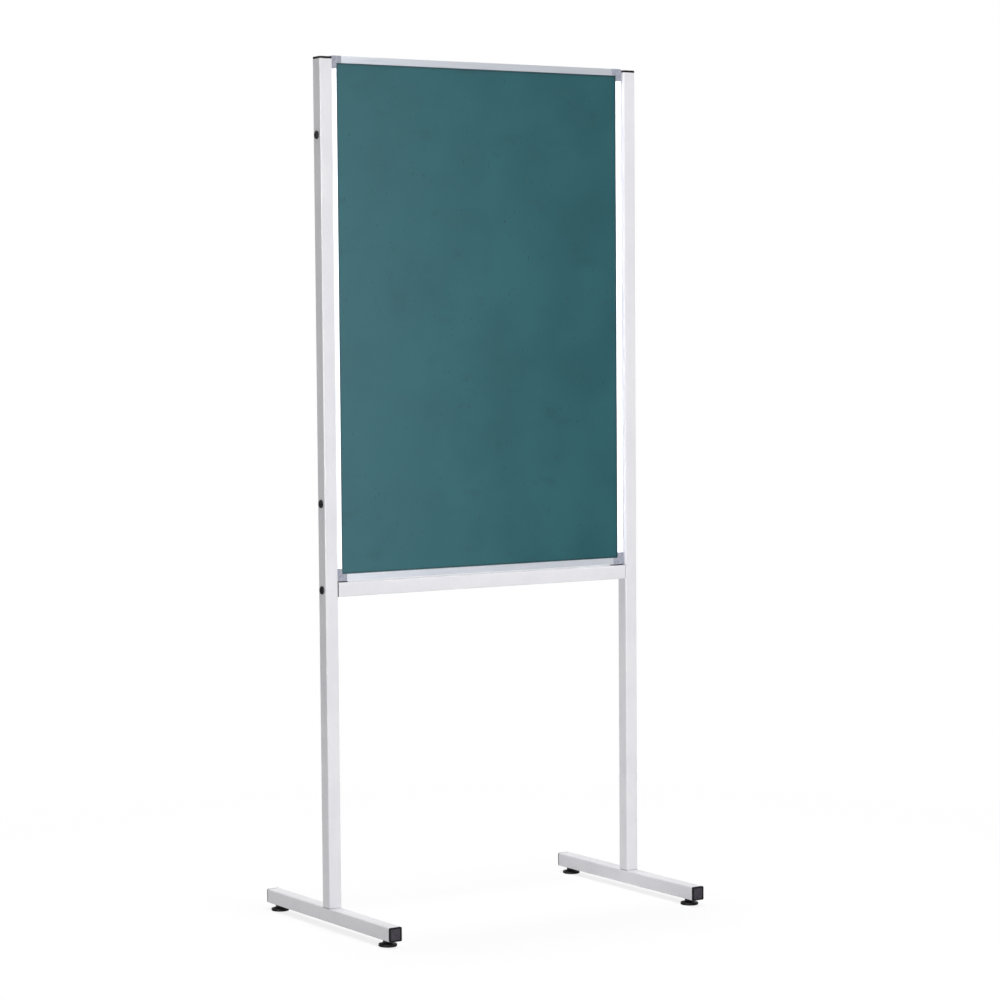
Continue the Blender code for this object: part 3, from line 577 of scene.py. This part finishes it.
def connector_bolt(length):
    """A bolt along -Z, with the underside of its head at Z = 0."""
    head = [(radius / 1000, height / 1000) for radius, height in HEAD_PROFILE]
    tip = [(BOLT_RADIUS, BOLT_TIP - length), (BOLT_RADIUS - BOLT_TIP, -length), (0, -length)]
    bm = turned(head + tip, BOLT_STEPS)
    rim = [edge for edge in bm.edges if edge.is_boundary]
    made = bmesh.ops.create_circle(bm, segments=HEXAGON_SIDES, radius=SOCKET_RADIUS)["verts"]
    bmesh.ops.translate(bm, verts=made, vec=(0, 0, HEAD_HEIGHT))
    mouth = [edge for edge in bm.edges if edge.is_wire]
    bmesh.ops.bridge_loops(bm, edges=rim + mouth)
    mouth = [edge for edge in bm.edges if edge.is_boundary]
    made = bmesh.ops.extrude_edge_only(bm, edges=mouth)["geom"]
    verts = [item for item in made if isinstance(item, bmesh.types.BMVert)]
    bmesh.ops.translate(bm, verts=verts, vec=(0, 0, -SOCKET_DEPTH))
    bmesh.ops.edgeloop_fill(bm, edges=[edge for edge in bm.edges if edge.is_boundary])
    return bm


for side, outward in (("left", -1), ("right", 1)):
    rows = (
        ("bar", f"crossbar_bolt_{side}"),
        ("lower", f"board_bolt_{side}_lower"),
        ("upper", f"board_bolt_{side}_upper"),
    )
    for level, node in rows:
        low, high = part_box(node)
        bolt = connector_bolt(high.x - low.x - HEAD_HEIGHT)
        seat_x = (high.x if outward > 0 else low.x) - outward * HEAD_HEIGHT
        put(bolt, (seat_x, centre(node).y, centre(node).z), outward, "Y")
        piece(f"{side}_{level}_bolt", bolt, (black_steel,), "stand", node)

# Frame rails: the four lengths of aluminium section round the writing panel.
# They are extruded with a hollow chamber and a groove for the panel, then anodised clear.
# A fine line runs along each face, and the die leaves faint lines along its length.

RAIL_OUTLINE = (  # from the outer face to the groove, in millimetres: inward, and forward
    (0.0, 0.0),
    (0.0, 6.0),
    (0.08, 6.25),
    (0.3, 6.36),
    (0.7, 6.4),
    (2.4, 6.46),
    (4.6, 6.5),
    (7.0, 6.5),
    (9.1, 6.44),
    (9.3, 6.35),
    (9.55, 6.0),
    (10.25, 6.0),
    (10.5, 6.32),
    (10.7, 6.38),
    (12.4, 6.3),
    (13.7, 6.19),
    (14.2, 6.1),
    (14.4, 5.95),
    (14.5, 5.6),
    (14.5, 4.7),
    (9.2, 4.7),
    (9.2, 0.0),
)
CHAMBER = (0.0014, 0.0080, 0.0053)  # from, to, and half its depth

ALUMINIUM_COLOURS = ("#E5EAF3", "#F3F6FC")
ALUMINIUM_ROUGHNESS = {"To Min": 0.4, "To Max": 0.5}
ALUMINIUM_GRAIN = 0.8  # how much wider the die's lines spread a reflection across them
DIE_LINE_WIDTH = 0.0005  # drawn coarser than the real 0.1 mm
DIE_LINE_LENGTH = 0.2
DIE_LINE_DEPTH = 0.00005


def anodised_aluminium(name, along, across):
    """Clear-anodised aluminium: a pale, even metal with soft streaks the way it was drawn."""
    made, tree, shader, place = new_material(name)
    scale = [1 / (DIE_LINE_LENGTH if axis == along else DIE_LINE_WIDTH) for axis in "XYZ"]
    lines = add(tree, "Mapping", {"Vector": place, "Scale": scale})
    lines = add(tree, "TexNoise", {"Vector": lines, "Scale": 1, "Detail": 2})
    bump = add(tree, "Bump", {"Height": lines, "Distance": DIE_LINE_DEPTH})
    lines = add(tree, "MapRange", {"Value": lines, **NOISE_MIDDLE})
    dark, light = map(linear, ALUMINIUM_COLOURS)
    colour = add(tree, "Mix", {0: lines, 6: dark, 7: light}, 2, data_type="RGBA")
    rough = add(tree, "MapRange", {"Value": lines, **ALUMINIUM_ROUGHNESS})
    tangent = add(tree, "CombineXYZ", {across: 1})
    fill(tree, shader, {"Base Color": colour, "Metallic": 1, "Roughness": rough})
    fill(tree, shader, {"Normal": bump, "Tangent": tangent, "Anisotropic": ALUMINIUM_GRAIN})
    return made


def frame_rail(length):
    """A rail along Z from Z = 0, with its outer face at X = 0 and its groove towards +X."""
    bm = bmesh.new()
    half = [(x / 1000, y / 1000) for x, y in RAIL_OUTLINE]
    loop = [bm.verts.new((x, -y, 0)) for x, y in half]
    edges = [bm.edges.new(pair) for pair in zip(loop, loop[1:])]
    bmesh.ops.mirror(
        bm,
        geom=loop + edges,
        matrix=Matrix.Identity(4),
        merge_dist=MERGE_DISTANCE,
        axis="Y",
    )
    inner, outer, depth = CHAMBER
    corners = ((inner, -depth), (outer, -depth), (outer, depth), (inner, depth))
    hollow = [bm.verts.new((x, y, 0)) for x, y in corners]
    for pair in zip(hollow, hollow[1:] + hollow[:1]):
        bm.edges.new(pair)
    bmesh.ops.remove_doubles(bm, verts=bm.verts, dist=MERGE_DISTANCE)
    bmesh.ops.triangle_fill(bm, edges=bm.edges[:], use_beauty=True)
    raise_faces(bm, bm.faces[:], length)
    return bm


upright_metal = anodised_aluminium("anodised_aluminium_upright", "Z", "X")
level_metal = anodised_aluminium("anodised_aluminium_level", "X", "Z")

for side, outward in (("left", -1), ("right", 1)):
    node = f"frame_rail_{side}"
    low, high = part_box(node)
    outer_x = high.x if outward > 0 else low.x
    rail = frame_rail(high.z - low.z)
    put(rail, (outer_x, 0, low.z), 1 + outward, "Z")
    holes = bmesh.new()
    for height in board_bolt_heights:
        rod(holes, (outer_x, 0, height), (1, 0, 0), BOLT_HOLE_RADIUS, 2 * OVERRUN)
    rail = cut_away(rail, holes)
    name = f"{side}_frame_rail"
    piece(name, rail, (upright_metal,), "stand", node)

for level, outward in (("bottom", -1), ("top", 1)):
    node = f"frame_rail_{level}"
    low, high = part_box(node)
    start_x = low.x if outward > 0 else high.x
    outer_z = high.z if outward > 0 else low.z
    rail = frame_rail(high.x - low.x)
    put(rail, (start_x, 0, outer_z), outward, "Y")
    name = f"{level}_frame_rail"
    piece(name, rail, (level_metal,), "stand", node)

# Frame corners: four L-shaped mouldings that join the rails and cover their sawn ends.
# They are moulded from grey polyamide, whose surface is lightly mottled by its flow.
# Each has two tongues that are pushed into the rails' chambers.

CORNER_LEG = 0.026
CORNER_PROUD = 0.0005  # past the rails' outer faces
CORNER_DEPTH = 0.014
CORNER_FACE = 0.0145  # width of each leg
CORNER_RADIUS = 0.0045
CORNER_EDGE = 0.0007
CORNER_EDGE_STEPS = 3
CORNER_SLOT = 0.0094  # takes the panel's edge
CORNER_START = 0.0092  # of the slot and the tongues, from the rails' outer faces
TONGUE_LENGTH = 0.0448
TONGUE_MIDDLE = 0.0047  # from the rail's outer face
TONGUE_SIZE = (0.0060, 0.0100)  # across the rail's face and through its depth

GREY_COLOURS = ("#8E919E", "#A8AAB8")
GREY_ROUGHNESS = {"To Min": 0.4, "To Max": 0.6}
GREY_MOTTLE = 0.006
GREY_GRAIN = 0.001
GREY_GRAIN_DEPTH = 0.00004


def grey_moulded_plastic():
    """Grey polyamide, injection moulded: matt, with a light mottle where the melt flowed."""
    made, tree, shader, place = new_material("grey_moulded_polyamide")
    mottle = add(tree, "TexNoise", {"Vector": place, "Scale": 1 / GREY_MOTTLE, "Detail": 4})
    mottle = add(tree, "MapRange", {"Value": mottle, **NOISE_MIDDLE})
    dark, light = map(linear, GREY_COLOURS)
    colour = add(tree, "Mix", {0: mottle, 6: dark, 7: light}, 2, data_type="RGBA")
    rough = add(tree, "MapRange", {"Value": mottle, **GREY_ROUGHNESS})
    grain = add(tree, "TexNoise", {"Vector": place, "Scale": 1 / GREY_GRAIN, "Detail": 1})
    bump = add(tree, "Bump", {"Height": grain, "Distance": GREY_GRAIN_DEPTH})
    fill(tree, shader, {"Base Color": colour, "Roughness": rough, "Normal": bump})
    return made


def add_block(bm, low, high):
    size = [b - a for a, b in zip(low, high)]
    middle = [(a + b) / 2 for a, b in zip(low, high)]
    matrix = Matrix.Translation(middle) @ Matrix.Diagonal((*size, 1))
    bmesh.ops.create_cube(bm, size=1, matrix=matrix)


def frame_corner():
    """A corner for the lower left of the frame: an L in XZ from the rails' outer corner."""
    bm = bmesh.new()
    low, leg, face = -CORNER_PROUD, CORNER_LEG, CORNER_FACE
    outline = ((low, low), (leg, low), (leg, face), (face, face), (face, leg), (low, leg))
    verts = [bm.verts.new((x, y, -CORNER_DEPTH / 2)) for x, y in outline]
    bm.faces.new(verts)
    round_off(bm, verts[:1], CORNER_RADIUS, CORNER_STEPS, "VERTICES")
    raise_faces(bm, bm.faces[:], CORNER_DEPTH)
    bmesh.ops.recalc_face_normals(bm, faces=bm.faces)
    edges = [
        edge
        for edge in bm.edges
        if edge.calc_face_angle() > SHARP_ANGLE or edge.verts[0].co.z == edge.verts[1].co.z
    ]
    round_off(bm, edges, CORNER_EDGE, CORNER_EDGE_STEPS)
    put(bm, (0, 0, 0), 1, "X")
    slot = bmesh.new()
    half = CORNER_SLOT / 2
    past = CORNER_LEG + OVERRUN
    add_block(slot, (CORNER_START, -half, CORNER_START), (past, half, past))
    bm = cut_away(bm, slot)
    width, depth = (size / 2 for size in TONGUE_SIZE)
    inner, outer = TONGUE_MIDDLE - width, TONGUE_MIDDLE + width
    start, end = CORNER_START, CORNER_START + TONGUE_LENGTH
    add_block(bm, (start, -depth, inner), (end, depth, outer))
    add_block(bm, (inner, -depth, start), (outer, depth, end))
    return bm


grey_plastic = grey_moulded_plastic()

for level, side, quarters in (
    ("bottom", "left", 0),
    ("bottom", "right", -1),
    ("top", "left", 1),
    ("top", "right", 2),
):
    node = f"frame_corner_{level}_{side}"
    low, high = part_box(node)
    x = low.x + CORNER_PROUD if side == "left" else high.x - CORNER_PROUD
    z = low.z + CORNER_PROUD if level == "bottom" else high.z - CORNER_PROUD
    corner = frame_corner()
    put(corner, (x, 0, z), quarters, "Y")
    name = f"{level}_{side}_frame_corner"
    piece(name, corner, (grey_plastic,), "stand", node)

# Pads under the board: two strips between its lower corners and the bar.
# They are soft black polyethylene, and keep the frame from rattling on the bar's paint.

PAD_STRIP_PRESS = 0.0002  # how far the soft strip fills the fit above and below it
PAD_STRIP_EDGE = 0.0003
PAD_STRIP_EDGE_STEPS = 2

for side in ("left", "right"):
    node = f"board_pad_{side}"
    low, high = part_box(node)
    strip = bmesh.new()
    press = Vector((0, 0, PAD_STRIP_PRESS))
    add_block(strip, low - press, high + press)
    round_off(strip, strip.edges[:], PAD_STRIP_EDGE, PAD_STRIP_EDGE_STEPS)
    piece(f"{side}_board_pad", strip, (black_plastic,), "stand", node)

# Beside the frame's lips the enamel is darkened by a painted shade.
# Writing panel: two enamelled steel sheets glued to a light core.
# The matt blue-green enamel takes chalk, and wiping leaves it faintly clouded.
# The core is flat in the CAD model and keeps its shape.

SHEET_EDGE = 0.0001
SHEET_EDGE_STEPS = 1
ENAMEL_COLOURS = ("#124A51", "#175259")
ENAMEL_ROUGHNESS = {"To Min": 0.38, "To Max": 0.44}
ENAMEL_SHEEN = 0.25  # specular level, half of a plain enamel's, for the matt one
ENAMEL_CLOUD = 0.16
ENAMEL_TOOTH = 0.0018  # the fine tooth that holds the chalk, drawn coarser than it is
ENAMEL_TOOTH_DEPTH = 0.00004
WIPE_COLOUR = "#10434A"
WIPE_WIDTH = 0.05
WIPE_LENGTH = 0.08
WIPE_SHARE = {"From Min": 0.6, "From Max": 0.72, "To Max": 0.5}
# dark enamel of the scuffs, also used for the painted shade beside the lips
SCUFF_AND_SHADE_COLOUR = "#0A2D33"
SCUFF_WIDTH = 0.006
SCUFF_HEIGHT = 0.012
SCUFF_SHARE = {"From Min": 0.7, "From Max": 0.74, "To Max": 0.6}
LIP_SHADE = (0.0025, 0.004)  # painted shade: a dark line beside the lips, where they shade the enamel
LIP_SHADE_SHARE = 0.8
CORE_COLOURS = ("#A48A68", "#B79D7B")
CORE_ROUGHNESS = 0.85
CORE_FIBRE_WIDTH = 0.0012
CORE_FIBRE_LENGTH = 0.0048
CORE_FIBRE_DEPTH = 0.0001


def green_enamel():
    """Vitreous enamel, sprayed and fired: matt blue-green with a fine tooth, wiping clouds and
    scuffs, and a painted shade beside the lips.
    """
    made, tree, shader, place = new_material("green_vitreous_enamel")
    cloud = add(tree, "TexNoise", {"Vector": place, "Scale": 1 / ENAMEL_CLOUD, "Detail": 5})
    cloud = add(tree, "MapRange", {"Value": cloud, **NOISE_MIDDLE})
    rough = add(tree, "MapRange", {"Value": cloud, **ENAMEL_ROUGHNESS})
    dark, light = map(linear, ENAMEL_COLOURS)
    fired = add(tree, "Mix", {0: cloud, 6: dark, 7: light}, 2, data_type="RGBA")

    scale = (1 / WIPE_LENGTH, 1 / WIPE_WIDTH, 1 / WIPE_WIDTH)
    wipe = add(tree, "Mapping", {"Vector": place, "Scale": scale})
    wipe = add(tree, "TexNoise", {"Vector": wipe, "Scale": 1, "Detail": 4})
    wipe = add(tree, "MapRange", {"Value": wipe, **WIPE_SHARE})
    colours = {0: wipe, 6: fired, 7: linear(WIPE_COLOUR)}
    wiped = add(tree, "Mix", colours, 2, data_type="RGBA")

    scale = (1 / SCUFF_WIDTH, 1 / SCUFF_WIDTH, 1 / SCUFF_HEIGHT)
    scuff = add(tree, "Mapping", {"Vector": place, "Scale": scale})
    scuff = add(tree, "TexNoise", {"Vector": scuff, "Scale": 1, "Detail": 2})
    scuff = add(tree, "MapRange", {"Value": scuff, **SCUFF_SHARE})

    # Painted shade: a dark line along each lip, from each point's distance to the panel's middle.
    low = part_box("frame_corner_bottom_left")[0]
    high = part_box("frame_corner_top_right")[1]
    across, _, up = add(tree, "SeparateXYZ", {"Vector": place}).node.outputs
    lines = []
    for value, start, end in ((across, low.x, high.x), (up, low.z, high.z)):
        lip = (end - start) / 2 - CORNER_PROUD - CORNER_FACE
        near, far = (lip - reach for reach in LIP_SHADE)
        off = add(tree, "Math", {0: value, 1: (start + end) / 2}, operation="SUBTRACT")
        off = add(tree, "Math", {0: off}, operation="ABSOLUTE")
        ramp = {"From Min": far, "From Max": near, "To Max": LIP_SHADE_SHARE}
        lines.append(add(tree, "MapRange", {"Value": off, **ramp}))
    line = add(tree, "Math", {0: lines[0], 1: lines[1]}, operation="MAXIMUM")
    # The painted shade by the lips and the real scuffs darken the enamel together.
    shade_and_scuffs = add(tree, "Math", {0: line, 1: scuff}, operation="MAXIMUM")
    colours = {0: shade_and_scuffs, 6: wiped, 7: linear(SCUFF_AND_SHADE_COLOUR)}
    colour = add(tree, "Mix", colours, 2, data_type="RGBA")

    tooth = add(tree, "TexNoise", {"Vector": place, "Scale": 1 / ENAMEL_TOOTH, "Detail": 2})
    bump = add(tree, "Bump", {"Height": tooth, "Distance": ENAMEL_TOOTH_DEPTH})
    fill(tree, shader, {"Base Color": colour, "Roughness": rough, "Normal": bump})
    fill(tree, shader, {"Specular IOR Level": ENAMEL_SHEEN})
    return made


def fibre_core():
    """Wood-fibre core board, pressed: dull brown with short fibres along its width."""
    made, tree, shader, place = new_material("pressed_fibre_core")
    scale = (1 / CORE_FIBRE_LENGTH, 1 / CORE_FIBRE_WIDTH, 1 / CORE_FIBRE_WIDTH)
    fibre = add(tree, "Mapping", {"Vector": place, "Scale": scale})
    fibre = add(tree, "TexNoise", {"Vector": fibre, "Scale": 1, "Detail": 3})
    bump = add(tree, "Bump", {"Height": fibre, "Distance": CORE_FIBRE_DEPTH})
    fibre = add(tree, "MapRange", {"Value": fibre, **NOISE_MIDDLE})
    dark, light = map(linear, CORE_COLOURS)
    colour = add(tree, "Mix", {0: fibre, 6: dark, 7: light}, 2, data_type="RGBA")
    fill(tree, shader, {"Base Color": colour, "Roughness": CORE_ROUGHNESS, "Normal": bump})
    return made


def clothe(material, *nodes):
    """Gives CAD nodes, whose shapes are right as they are, their finish."""
    for node in nodes:
        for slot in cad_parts[node].material_slots:
            slot.material = material


enamel = green_enamel()
enamelled = bpy.data.collections.new("enamelled_sheets")

for end in ("front", "rear"):
    node = f"writing_sheet_{end}"
    sheet = bmesh.new()
    add_block(sheet, *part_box(node))
    round_off(sheet, sheet.edges[:], SHEET_EDGE, SHEET_EDGE_STEPS)
    name = f"{end}_enamelled_sheet"
    enamelled.objects.link(piece(name, sheet, (enamel,), "stand", node))

clothe(fibre_core(), "board_core")

# Hidden fixings: inserts, rivet nuts, nut bars and foot bolts of zinc-plated steel take the
# threads inside the tubes and rails, where they can't be seen. Their CAD shapes are kept.

ZINC_COLOURS = ("#BFC3C8", "#D3D5D6")
ZINC_ROUGHNESS = {"To Min": 0.22, "To Max": 0.42}
ZINC_PATCH = 0.004


def zinc_plate():
    """Electroplated zinc: a bright bluish metal with small duller patches."""
    made, tree, shader, place = new_material("zinc_plated_steel")
    patch = add(tree, "TexNoise", {"Vector": place, "Scale": 1 / ZINC_PATCH, "Detail": 3})
    patch = add(tree, "MapRange", {"Value": patch, **NOISE_MIDDLE})
    dark, light = map(linear, ZINC_COLOURS)
    colour = add(tree, "Mix", {0: patch, 6: dark, 7: light}, 2, data_type="RGBA")
    rough = add(tree, "MapRange", {"Value": patch, **ZINC_ROUGHNESS})
    fill(tree, shader, {"Base Color": colour, "Metallic": 1, "Roughness": rough})
    return made


ends = [f"{side}_{end}" for side in ("left", "right") for end in ("front", "rear")]
levels = [f"{side}_{level}" for side in ("left", "right") for level in ("lower", "upper")]
clothe(
    zinc_plate(),
    *(f"foot_insert_{end}" for end in ends),
    *(f"rail_nut_{level}" for level in levels),
    *(f"foot_bolt_{side}" for side in ("left", "right")),
    *(f"post_base_insert_{side}" for side in ("left", "right")),
    *(f"crossbar_insert_{side}" for side in ("left", "right")),
)

# Studio: a white floor that fades into a white background, and large soft lamps.
# A tall strip lamp lights the object evenly from the front, and a large one from above.

FLOOR_SIZE = 60
FLOOR_COLOUR = "#DADADA"  # for the light that it gives back
FLOOR_SEEN = "#F6F6F6"
FLOOR_ROUGHNESS = 0.9
FLOOR_FADE = {"From Min": 0.7, "From Max": 2.0}  # how far from the object it fades
FLOOR_GLOW = {"To Min": 0.78, "To Max": 1}  # share of plain white in what the camera sees there
AMBIENT = 0.76  # the surroundings' light on matt surfaces
WALL_HEIGHT = {"From Min": 0.1, "From Max": 0.8}  # how high up the surroundings dim
WALL_LIGHT = {"To Min": 1, "To Max": 0.25}
WHITE = (1, 1, 1, 1)
CARD_COLOUR = "#CBF1FF"


def studio_floor():
    """Matt white paper: it shows the object's soft shadow, and the camera sees it as white."""
    made, tree, shader, place = new_material("white_paper_floor")
    away = add(tree, "VectorMath", {0: place}, "Value", operation="LENGTH")
    far = add(tree, "MapRange", {"Value": away, **FLOOR_FADE, **FLOOR_GLOW})
    seen = add(tree, "LightPath", {}, "Is Camera Ray")
    plain, paper = map(linear, (FLOOR_COLOUR, FLOOR_SEEN))
    colour = add(tree, "Mix", {0: seen, 6: plain, 7: paper}, 2, data_type="RGBA")
    fill(tree, shader, {"Base Color": colour, "Roughness": FLOOR_ROUGHNESS})
    fill(tree, shader, {"Specular IOR Level": 0})
    share = add(tree, "Math", {0: seen, 1: far}, operation="MULTIPLY")
    glow = add(tree, "Emission", {"Color": WHITE, "Strength": 1})
    mixed = add(tree, "MixShader", {0: share, 1: shader.outputs[0], 2: glow})
    fill(tree, tree.nodes["Material Output"], {"Surface": mixed})
    return made


bm = bmesh.new()
bmesh.ops.create_grid(bm, x_segments=1, y_segments=1, size=FLOOR_SIZE / 2)
mesh = bpy.data.meshes.new("floor")
bm.to_mesh(mesh)
bm.free()
mesh.materials.append(studio_floor())
floor = bpy.data.objects.new("floor", mesh)
bpy.context.scene.collection.objects.link(floor)

world = bpy.data.worlds.new("studio")
world.use_nodes = True
bpy.context.scene.world = world
tree = world.node_tree
tree.nodes.clear()
direction = add(tree, "TexCoord", {}, "Generated")
height = add(tree, "SeparateXYZ", {"Vector": direction}, "Z")
walls = add(tree, "MapRange", {"Value": height, **WALL_HEIGHT, **WALL_LIGHT})
ray = add(tree, "LightPath", {}).node.outputs
mirrored = {0: ray["Is Glossy Ray"], 1: ray["Is Transmission Ray"]}
mirrored = add(tree, "Math", mirrored, operation="MAXIMUM")
dimmed = add(tree, "MapRange", {"Value": mirrored, "To Min": AMBIENT, "To Max": 1})
lit = add(tree, "Math", {0: walls, 1: dimmed}, operation="MULTIPLY")
strength = add(tree, "Math", {0: lit, 1: ray["Is Camera Ray"]}, operation="MAXIMUM")
background = add(tree, "Background", {"Color": WHITE, "Strength": strength})
fill(tree, tree.nodes.new("ShaderNodeOutputWorld"), {"Surface": background})


def soft_lamp(name, place, target, width, height, power):
    """A rectangular softbox that faces a point."""
    data = bpy.data.lights.new(name, "AREA")
    data.shape = "RECTANGLE"
    data.size = width
    data.size_y = height
    data.energy = power
    lamp = bpy.data.objects.new(name, data)
    bpy.context.scene.collection.objects.link(lamp)
    lamp.location = place
    aim = Vector(target) - Vector(place)
    lamp.rotation_euler = aim.to_track_quat("-Z", "Y").to_euler()
    lamp.visible_camera = False
    return lamp


soft_lamp(
    "front_strip",
    place=(0.05, -2.3, 0.85),
    target=(0.05, 0, 0.85),
    width=0.7,
    height=2.6,
    power=28,
)
soft_lamp(
    "top_lamp",
    place=(0, 0.2, 4.2),
    target=(0, 0.2, 0),
    width=1.4,
    height=2.4,
    power=150,
)
rim = soft_lamp(
    "left_strip",
    place=(-3.6, -2.2, 1.4),
    target=(0, 0, 1.4),
    width=0.5,
    height=3.6,
    power=420,
)
rim.visible_diffuse = False  # it only lays a gleam along the tubes' left corners
card = soft_lamp(
    "blue_white_card",
    place=(0.75, -2.3, 1.1),
    target=(-0.3, 0, 1.1),
    width=0.6,
    height=2.4,
    power=38,
)
card.data.color = linear(CARD_COLOUR)[:3]
card.visible_diffuse = False  # it is only there to be mirrored softly in the enamel
card.light_linking.receiver_collection = enamelled

# Camera: at the photograph's viewing angle, a little above the board's middle.
# Its place, its turns and its lens were fitted to the outlines of the posts, rails and feet.

CAMERA_PLACE = (-3.45223, -5.27371, 1.25594)
CAMERA_YAW = math.radians(31.5833)
CAMERA_PITCH = math.radians(4.26517)
CAMERA_ROLL = math.radians(-0.57169)
CAMERA_LENS = 104.802
CAMERA_SENSOR = 36
CAMERA_SHIFT = (0.1, 0.05)

lens = bpy.data.cameras.new("camera")
lens.sensor_width = CAMERA_SENSOR
lens.lens = CAMERA_LENS
lens.shift_x, lens.shift_y = CAMERA_SHIFT
camera = bpy.data.objects.new("camera", lens)
bpy.context.scene.collection.objects.link(camera)
camera.matrix_world = (
    Matrix.Translation(CAMERA_PLACE)
    @ Matrix.Rotation(-CAMERA_YAW, 4, "Z")
    @ Matrix.Rotation(math.pi / 2 - CAMERA_PITCH, 4, "X")
    @ Matrix.Rotation(CAMERA_ROLL, 4, "Z")
)
bpy.context.scene.camera = camera
bpy.context.scene.view_settings.view_transform = "Standard"
